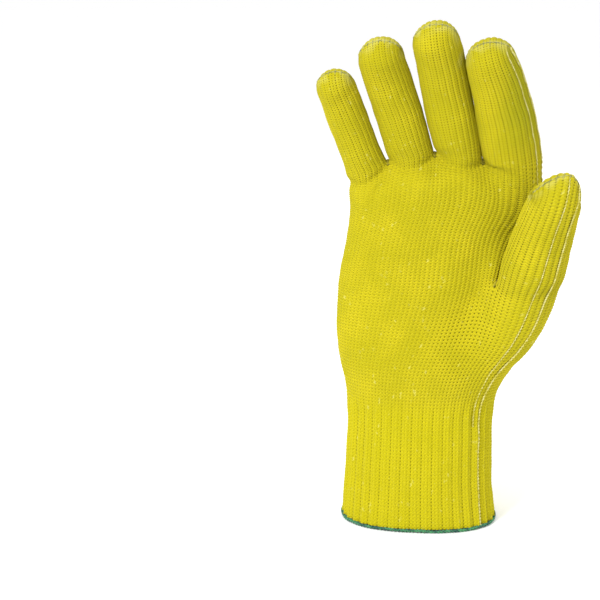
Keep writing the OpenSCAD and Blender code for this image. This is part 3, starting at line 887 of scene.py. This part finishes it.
def knit_look():
    """Yarn of yellow fibre with a few pale ones, with painted shade where one looks between the
    stitches.
    """
    g = Graph("knit")
    uv = g.node("UVMap", uv_map="Knit")
    u, v = (g.node("SeparateXYZ", uv, output=axis) for axis in (0, 1))
    rib, opened, fine, cuff = (g.attribute(name) for name in ("rib", "open", "fine", "cuff"))
    plainness = g.calc("SUBTRACT", 1.0, fine)
    ladder = g.wave(u, 0.3, 0.7)
    every_third = g.wave(u, period=3)
    u = g.times(u, g.calc("ADD", g.calc("ROUND", fine), 1.0))
    side = g.calc("ABSOLUTE", g.calc("SUBTRACT", g.times(g.calc("FRACT", u), 2.0), 1.0))
    phase = g.calc("ADD", v, g.times(side, 0.5))
    leg = g.wave(phase)
    gap = g.calc("SUBTRACT", 1.0, leg)

    # Painted shade: how dark it is in the real gaps between the stitches, in the grooves between
    # the ribs and where legs cross
    striped = g.scaled(g.calc("SUBTRACT", every_third, 0.6), g.times(cuff, 0.65), 1.0)
    stripes = g.times(striped, striped)
    hole_shade = g.times(g.ramp(side, 0.5, 1.0), g.ramp(gap, 0.35, 0.95), opened,
                   g.scaled(ladder, fine, plainness), stripes, g.scaled(fine, 1.1, 0.95))
    groove_shade = g.times(g.ramp(side, 0.66, 1.0), g.times(rib, 0.36),
                     g.scaled(g.times(ladder, 0.45), fine, plainness), stripes)
    crossing_shade = g.times(g.ramp(gap, 0.5, 1.0), g.scaled(cuff, -0.1, 0.16))
    seat = g.place()
    patch = g.noise(seat, 55.0)
    painted_shade = g.calc("ADD", g.calc("ADD", hole_shade, groove_shade), crossing_shade, clamp=True)
    painted_shade = g.calc("MULTIPLY", painted_shade, g.ramp(patch, 0.3, 0.7, 0.72, 1.08), clamp=True)

    # The yarn's colours, each mixed over the last
    cell = g.node("CombineXYZ", g.calc("FLOOR", g.times(u, 2.0)), g.calc("FLOOR", phase))
    stitch = g.node("TexWhiteNoise", cell, noise_dimensions="2D", output="Value")
    twist = g.node("CombineXYZ", g.times(g.calc("ADD", u, phase), 5.0), phase)
    fibre = g.noise(twist, 3.0)
    fuzz = g.times(g.attribute("tip"), g.ramp(g.noise(seat, 190.0), 0.42, 0.66))
    fleck = g.times(g.ramp(stitch, 0.95, 0.99), g.ramp(g.noise(seat, 260.0, 2.0), 0.5, 0.66))
    streak = g.times(g.ramp(fibre, 0.56, 0.74), 0.3)
    colour = g.mix(g.ramp(patch, 0.35, 0.7), THIN_YELLOW, THICK_YELLOW)
    for share, tint in ((g.times(stitch, 0.3), ODD_YELLOW), (g.times(cuff, 0.6), CUFF_YELLOW),
                        # painted shade on the index finger
                        (g.times(g.attribute("index_shade"), 0.9), INDEX_SHADE_YELLOW),
                        (g.times(fuzz, 0.5), FUZZ),
                        (g.calc("MAXIMUM", g.times(fleck, 0.42), streak), PALE_FIBRE)):
        colour = g.mix(share, colour, tint)
    g.bump(g.calc("ADD", g.times(leg, 0.6), g.times(fibre, 0.5)), 0.0003)
    # The painted shade is mixed over the yarn's colours
    return g.set(Base_Color=g.mix(painted_shade, colour, SHADE_BETWEEN_STITCHES), Roughness=0.82,
                 Sheen_Weight=0.08, Sheen_Roughness=0.45, Sheen_Tint=(1.0, 0.97, 0.2),
                 Specular_IOR_Level=0.10)


def thread_look(name, colour, shade, scale=700.0):
    """Twisted thread: two tones of one colour and a fine bump."""
    g = Graph(name)
    seat = g.place()
    strand = g.noise(seat, scale)
    g.bump(strand, 0.0002)
    return g.set(Base_Color=g.mix(g.ramp(strand, 0.35, 0.65), shade, colour), Roughness=0.8,
                 Sheen_Weight=0.2, Specular_IOR_Level=0.25)


knit_material = knit_look()
white_material = thread_look("white_yarn", (0.57, 0.53, 0.18), (0.44, 0.39, 0.04), 420.0)
green_material = thread_look("green_thread", (0.07, 0.30, 0.125), (0.018, 0.095, 0.075), 380.0)
closing_material = thread_look("closing_thread", (0.44, 0.42, 0.12), (0.15, 0.16, 0.05))
knot_material = thread_look("gathered_yarn", (0.40, 0.35, 0.01), (0.22, 0.19, 0.005))
elastic_material = thread_look("elastic", (0.72, 0.70, 0.60), (0.55, 0.53, 0.42))
for thing in knit.values():
    thing.data.materials.append(knit_material)

# ---- Riding ----

def pivot(joint):
    return np.array(JOINTS[joint]["pos_m"]) / MM


def blend(thing, a, b, start, end):
    tuple(np.array(start) * MM)
    tuple(np.array(end) * MM)
    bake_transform(thing)


def rides():
    """For each piece of fabric, its bodies and where it turns from one to the other."""
    table = {"knit_cuff": ("cuff_body", "hand", (0, 0, 50), (0, 0, 74)), "knit_palm": ("hand",)}
    for finger, (root_x, lean, length, _, _, bow) in FINGERS.items():
        low, mid, tip = (f"{finger}_finger_{part}" for part in ("lower", "middle", "tip"))
        zone_middle, zone_tip = finger_zones(finger)
        root = np.array([root_x, 0, root_height(root_x)])
        d = along(lean - bow, CURL[0])
        end = finger_cuts(finger)[0] - 0.5
        table[f"knit_{finger}_base"] = ("hand", low, root + 3 * d, root + end * d)
        for part, joint, pair, zone, curl in (
                ("middle", "middle_bend", (low, mid), zone_middle, (CURL[0] + CURL[1]) / 2),
                ("tip", "tip_bend", (mid, tip), zone_tip, (CURL[1] + CURL[2]) / 2)):
            centre, d = pivot(f"{finger}_{joint}"), along(lean, curl)
            table[f"knit_{finger}_{part}"] = (*pair, centre - zone * d, centre + zone * d)
    d = along(THUMB_LEAN, THUMB_TILT[0])
    table["knit_thumb_base"] = ("hand", "thumb_low", THUMB_ROOT + 8 * d, THUMB_ROOT + 22 * d)
    centre, d = pivot("thumb_tip_bend"), along(THUMB_LEAN, sum(THUMB_TILT) / 2)
    table["knit_thumb_tip"] = ("thumb_low", "thumb_end", centre - 9 * d, centre + 9 * d)
    return table


RIDES = rides()


def carry(thing, piece):
    """Attaches an object to its piece's body if there is only one; otherwise only bakes its
    transform.
    """
    if len(RIDES[piece]) == 1:
        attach(thing, RIDES[piece][0])
    else:
        blend(thing, *RIDES[piece])


for name, thing in knit.items():
    carry(thing, name)
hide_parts("cuff", "wrist_band")
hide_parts("lower_palm", "upper_palm")
for finger in FINGERS:
    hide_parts(f"{finger}_base_band", f"{finger}_lower")
    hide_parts(f"{finger}_middle_band", f"{finger}_middle")
    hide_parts(f"{finger}_tip_band", f"{finger}_tip")
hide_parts("thumb_base_band", "thumb_lower")
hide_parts("thumb_joint_band", "thumb_tip")

# ---- What is sewn on ----

def unit_rows(vectors):
    return vectors / np.maximum(np.linalg.norm(vectors, axis=1), 1e-9)[:, None]


def thread(points, ups, radius, sides=6, closed=False):
    """Vertices and faces of a round thread along a line, its ring turned by the given normals."""
    ahead = np.roll(points, -1, 0) - np.roll(points, 1, 0)
    if not closed:
        ahead[0], ahead[-1] = points[1] - points[0], points[-1] - points[-2]
    ahead = unit_rows(ahead)
    side = unit_rows(np.cross(ahead, ups))
    up = np.cross(side, ahead)
    a = (2 * math.pi * np.arange(sides) / sides)[None, :, None]
    radius = np.broadcast_to(radius, len(points))[:, None, None]
    ring = (np.cos(a) * up[:, None] + np.sin(a) * side[:, None]) * radius
    vertices = (points[:, None] + ring).reshape(-1, 3)
    faces = []
    for k in range(len(points) if closed else len(points) - 1):
        low, high = k * sides, (k + 1) % len(points) * sides
        for i in range(sides):
            j = (i + 1) % sides
            faces.append((low + i, high + i, high + j, low + j))
    if not closed:
        faces.append(tuple(range(sides)))
        faces.append(tuple(range((len(points) - 1) * sides, len(points) * sides))[::-1])
    return vertices, faces


def mesh_object(name, parts, material):
    """One smooth mesh object from lists of vertices and faces in millimetres."""
    vertices, faces = [], []
    for part_vertices, part_faces in parts:
        base = len(vertices)
        vertices.extend((np.asarray(part_vertices) * MM).tolist())
        faces.extend(tuple(base + i for i in face) for face in part_faces)
    mesh = bpy.data.meshes.new(name)
    mesh.from_pydata(vertices, [], faces)
    mesh.update()
    mesh.shade_smooth()
    mesh.materials.append(material)
    return new_object(name, mesh)


def finer(points, steps=4):
    """A line through the same points with more points on it, rounded between them."""
    n = len(points)
    wanted = np.linspace(0, n - 1, (n - 1) * steps + 1)
    k = np.clip(wanted.astype(int), 0, n - 2)
    t = (wanted - k)[:, None]
    before, after = points[np.maximum(k - 1, 0)], points[np.minimum(k + 2, n - 1)]
    a, b = points[k], points[k + 1]
    return 0.5 * (2 * a + (b - before) * t + (2 * before - 5 * a + 4 * b - after) * t**2
                  + (3 * a - 3 * b + after - before) * t**3)


def sideways(points, ups):
    """Directions across a line, within the surface with these normals."""
    return np.cross(unit_rows(np.gradient(points, axis=0)), ups)


def moved(points, *moves):
    """Points after moves, each given as directions and how far."""
    for directions, distances in moves:
        points = points + directions * distances[:, None]
    return points


STITCH_SWAY = 0.14  # how far a chained stitch swings to each side
STITCH_SWELL = 0.18  # how much thicker its thread gets


def sew_column(tube, column, radius, offset, first_row=0, beat_height=0.16):
    """Thread of chained stitches up one wale of a tube, for each piece that it crosses."""
    runs = {}
    for k in range(first_row + 1, len(tube.rows)):
        runs.setdefault(tube.pieces[k - 1], [k - 1]).append(k)
    made = {}
    for piece, ks in runs.items():
        numbers = [tube.rows[k][column] for k in ks]
        points, ups = finer(skin[numbers]), unit_rows(finer(outward[numbers]))
        beat = np.arange(len(points)) * math.pi / 2
        points = moved(points, (ups, offset + beat_height * np.cos(beat)),
                       (sideways(points, ups), STITCH_SWAY * np.sin(beat)))
        made[piece] = thread(points, ups, radius * (1 + STITCH_SWELL * np.cos(beat)))
    return made


def sew_yarns(tube, yarns, nodes):
    """White yarns up a tube, as one object for each piece of fabric that they cross.

    A yarn is its wale, its radius and its height over the skin, and if need be the first row
    and how far its stitches rise and fall.
    """
    joined = {}
    for yarn in yarns:
        for piece, part in sew_column(tube, *yarn).items():
            joined.setdefault(piece, []).append(part)
    for piece, parts in joined.items():
        thing = mesh_object(piece.replace("knit_", "yarn_"), parts, white_material)
        carry(thing, piece)
        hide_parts(nodes[piece])


def straighten(numbers, rounds=90):
    """Moves a line of stitches sideways within the skin until no kink is left in it."""
    ups = outward[numbers[1:-1]]
    for _ in range(rounds):
        points = skin[numbers]
        shift = (points[:-2] + points[2:]) / 2 - points[1:-1]
        shift -= (shift * ups).sum(1)[:, None] * ups
        skin[numbers[1:-1]] += 0.5 * shift


THUMB_YARN = YARN_WALE - FRONT_TO_FORK
INDEX_YARN = 11
SECOND = -2  # wales from the yarn up the edge to the thinner one beside it
for aside in (0, SECOND):
    lower = [row[YARN_WALE + aside] for row in tubes["hand"].rows]
    upper = [row[THUMB_YARN + aside] for row in tubes["thumb"].rows]
    straighten(list(dict.fromkeys(lower + upper)))
sew_yarns(tubes["hand"],
          ((YARN_WALE, 0.36, 0.34), (YARN_WALE + SECOND, 0.24, 0.10, 30, 0.3)),
          {"knit_cuff": "yarn_cuff", "knit_palm": "yarn_palm"})
sew_yarns(tubes["thumb"],
          ((THUMB_YARN, 0.36, 0.34), (THUMB_YARN + SECOND, 0.24, 0.10, 0, 0.3)),
          {"knit_thumb_base": "yarn_thumb_lower", "knit_thumb_tip": "yarn_thumb_tip"})
sew_yarns(tubes["index"],
          ((INDEX_YARN, 0.36, 0.32), (INDEX_YARN + SECOND, 0.26, 0.14, 2, 0.26)),
          {"knit_index_base": "yarn_index_lower", "knit_index_middle": "yarn_index_middle",
           "knit_index_tip": "yarn_index_tip"})

CLOSING_REACH = 1.7  # length of a closing stitch over the seam's width
CLOSING_RADIUS, SEAM_RADIUS = 0.19, 0.26


def close_tip(name):
    """Short stitches over the seam that closes a tip, front to back."""
    pairs = tubes[name].pairs[1:-1]
    parts = []
    for f, b in pairs:
        start, end = skin[f], skin[b]
        up = unit_rows((outward[f] + outward[b])[None])[0]
        t = np.linspace(-1, 1, 7)[:, None]
        points = (start + end) / 2 + (end - start) / 2 * t * CLOSING_REACH
        points = points + up * (0.06 - 0.3 * t**2)
        parts.append(thread(points, np.repeat(up[None], 7, 0), CLOSING_RADIUS))
    line = np.array([(skin[f] + skin[b]) / 2 for f, b in pairs])
    ups = unit_rows(np.array([outward[f] + outward[b] for f, b in pairs]))
    points, ups = finer(line, 5), unit_rows(finer(ups, 5))
    parts.append(thread(points + ups * 0.12, ups, SEAM_RADIUS))
    thing = mesh_object(f"closing_{name}", parts, closing_material)
    carry(thing, f"knit_{name}_tip")
    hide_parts(f"{name}_tip_stitch")


for name in (*FINGERS, "thumb"):
    close_tip(name)

CROTCH_RADIUS, CROTCH_WRAP_RADIUS = 0.38, 0.2
CROTCH_TURNS, TURN_POINTS = 5, 12


def sew_crotch(name, arc, node):
    """Stitches that gather the fabric between two tubes, over the crotch from front to back."""
    points, ups = finer(skin[arc]), unit_rows(finer(outward[arc]))
    parts = [thread(points + ups * 0.2, ups, CROTCH_RADIUS)]
    beat = np.linspace(0, 2 * math.pi * CROTCH_TURNS, TURN_POINTS * CROTCH_TURNS)
    place = np.linspace(0, len(points) - 1, len(beat))
    path = interpolated(place, np.arange(len(points)), points)
    lift = unit_rows(interpolated(place, np.arange(len(ups)), ups))
    wrap = moved(path, (lift, 0.2 + 0.5 * np.cos(beat)),
                 (sideways(path, lift), 0.6 * np.sin(beat)))
    parts.append(thread(wrap, lift, CROTCH_WRAP_RADIUS))
    thing = mesh_object(name, parts, knot_material)
    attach(thing, "hand")
    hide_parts(node)


for pair, arc in zip(("little_ring", "ring_middle", "middle_index"), finger_arcs):
    sew_crotch(f"crotch_stitch_{pair}", arc, f"crotch_{pair}")
sew_crotch("crotch_stitch_thumb", thumb_arc, "crotch_thumb")


def rim_line(z, count, out=0.0):
    """The cuff's outline at a height as points, with the outward directions."""
    ring = at_fractions(hand_outline(LOWER_STATIONS, z), np.arange(count) / count)
    tangent = np.roll(ring, -1, 0) - np.roll(ring, 1, 0)
    away = unit_rows(np.column_stack([tangent[:, 1], -tangent[:, 0]]))
    return (np.column_stack([ring + away * out, np.full(count, float(z))]),
            np.column_stack([away, np.zeros(count)]))


OVERLOCK_Z = 1.0
CORE_RADIUS, WRAP_RADIUS, CHAIN_RADIUS = 0.5, 0.27, 0.22
WRAPS, WRAP_POINTS = 120, 10


def overlock():
    """The bound edge: a core with loops wrapped round it and a chain along its outside."""
    around = 360
    core, away = rim_line(OVERLOCK_Z, around)
    place = np.arange(around) / around * 2 * math.pi
    core[:, 2] += 0.14 * np.sin(5 * place + 1) + 0.12 * np.sin(13 * place)
    parts = [thread(core, away, CORE_RADIUS, 8, closed=True)]
    count = WRAPS * WRAP_POINTS
    beat = 2 * math.pi * WRAPS * np.arange(count) / count
    share = np.arange(count) / count * around
    known = np.arange(around + 1)
    path = interpolated(share, known, np.vstack([core, core[:1]]))
    out = unit_rows(interpolated(share, known, np.vstack([away, away[:1]])))
    up = np.array([0.0, 0.0, 1.0])
    uneven = 1 + 0.1 * np.sin(share * 0.41) + 0.07 * np.sin(share * 1.7)
    wrap = moved(path, (out, 0.62 * np.cos(beat) * uneven), (up, 0.66 * np.sin(beat) * uneven))
    parts.append(thread(wrap, out, WRAP_RADIUS, closed=True))
    chain = moved(path, (out, 0.72 + 0.12 * np.cos(2 * beat)), (up, 0.55 + 0.24 * np.sin(beat)))
    parts.append(thread(chain, out, CHAIN_RADIUS, closed=True))
    return mesh_object("overlock_stitches", parts, green_material)


edge = overlock()
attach(edge, "cuff_body")
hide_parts("overlock_edge")

ELASTIC_ROUNDS, ELASTIC_START_Z, ELASTIC_PITCH = 12, 16, 3
ELASTIC_INSET, ELASTIC_RADIUS = 2.0, 0.35


def elastic_rings():
    parts = []
    for i in range(ELASTIC_ROUNDS):
        ring, away = rim_line(ELASTIC_START_Z + ELASTIC_PITCH * i, 120, -ELASTIC_INSET)
        parts.append(thread(ring, away, ELASTIC_RADIUS, closed=True))
    return mesh_object("elastic_rings", parts, elastic_material)


elastic = elastic_rings()
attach(elastic, "cuff_body")
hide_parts("elastic_threads")

# ---- Floor, light and camera ----

MIDDLE = (0, 0, 0.12)  # what the key and fill lights are turned to


def area_light(name, place, target, size, power):
    lamp = bpy.data.lights.new(name, "AREA")
    lamp.shape = "DISK"
    lamp.size = size
    lamp.energy = power
    thing = new_object(name, lamp)
    thing.location = place
    thing.rotation_euler = (Vector(target) - Vector(place)).to_track_quat("-Z", "Y").to_euler()


area_light("key", (-0.75, -1.1, 1.05), MIDDLE, 0.5, 20)
area_light("fill", (1.1, -0.7, 0.6), MIDDLE, 0.9, 1.5)
area_light("back", (0.1, 1.1, 0.9), (0, 0, 0.14), 0.8, 4)

bpy.ops.mesh.primitive_plane_add(size=60)
floor = bpy.context.object
floor.name = "floor"
floor.data.materials.append(Graph("floor").set(Base_Color=(0.96, 0.96, 0.96), Roughness=0.85))

world = bpy.data.worlds.new("studio")
bpy.context.scene.world = world
world.use_nodes = True
background = world.node_tree.nodes["Background"]
background.inputs["Color"].default_value = (1, 1, 1, 1)
background.inputs["Strength"].default_value = 1.04

CAMERA_PLACE = (0.013, -0.750, 0.273)
CAMERA_LENS = 94.8
CAMERA_TILT = math.radians(12.35)  # downwards
CAMERA_YAW = math.radians(5.5)  # to the left, so that the glove stands right of the middle
camera = new_object("camera", bpy.data.cameras.new("camera"))
camera.data.lens = CAMERA_LENS
camera.location = CAMERA_PLACE
camera.rotation_euler = (math.pi / 2 - CAMERA_TILT, 0, CAMERA_YAW)
bpy.context.scene.camera = camera
bpy.context.scene.view_settings.view_transform = "Standard"
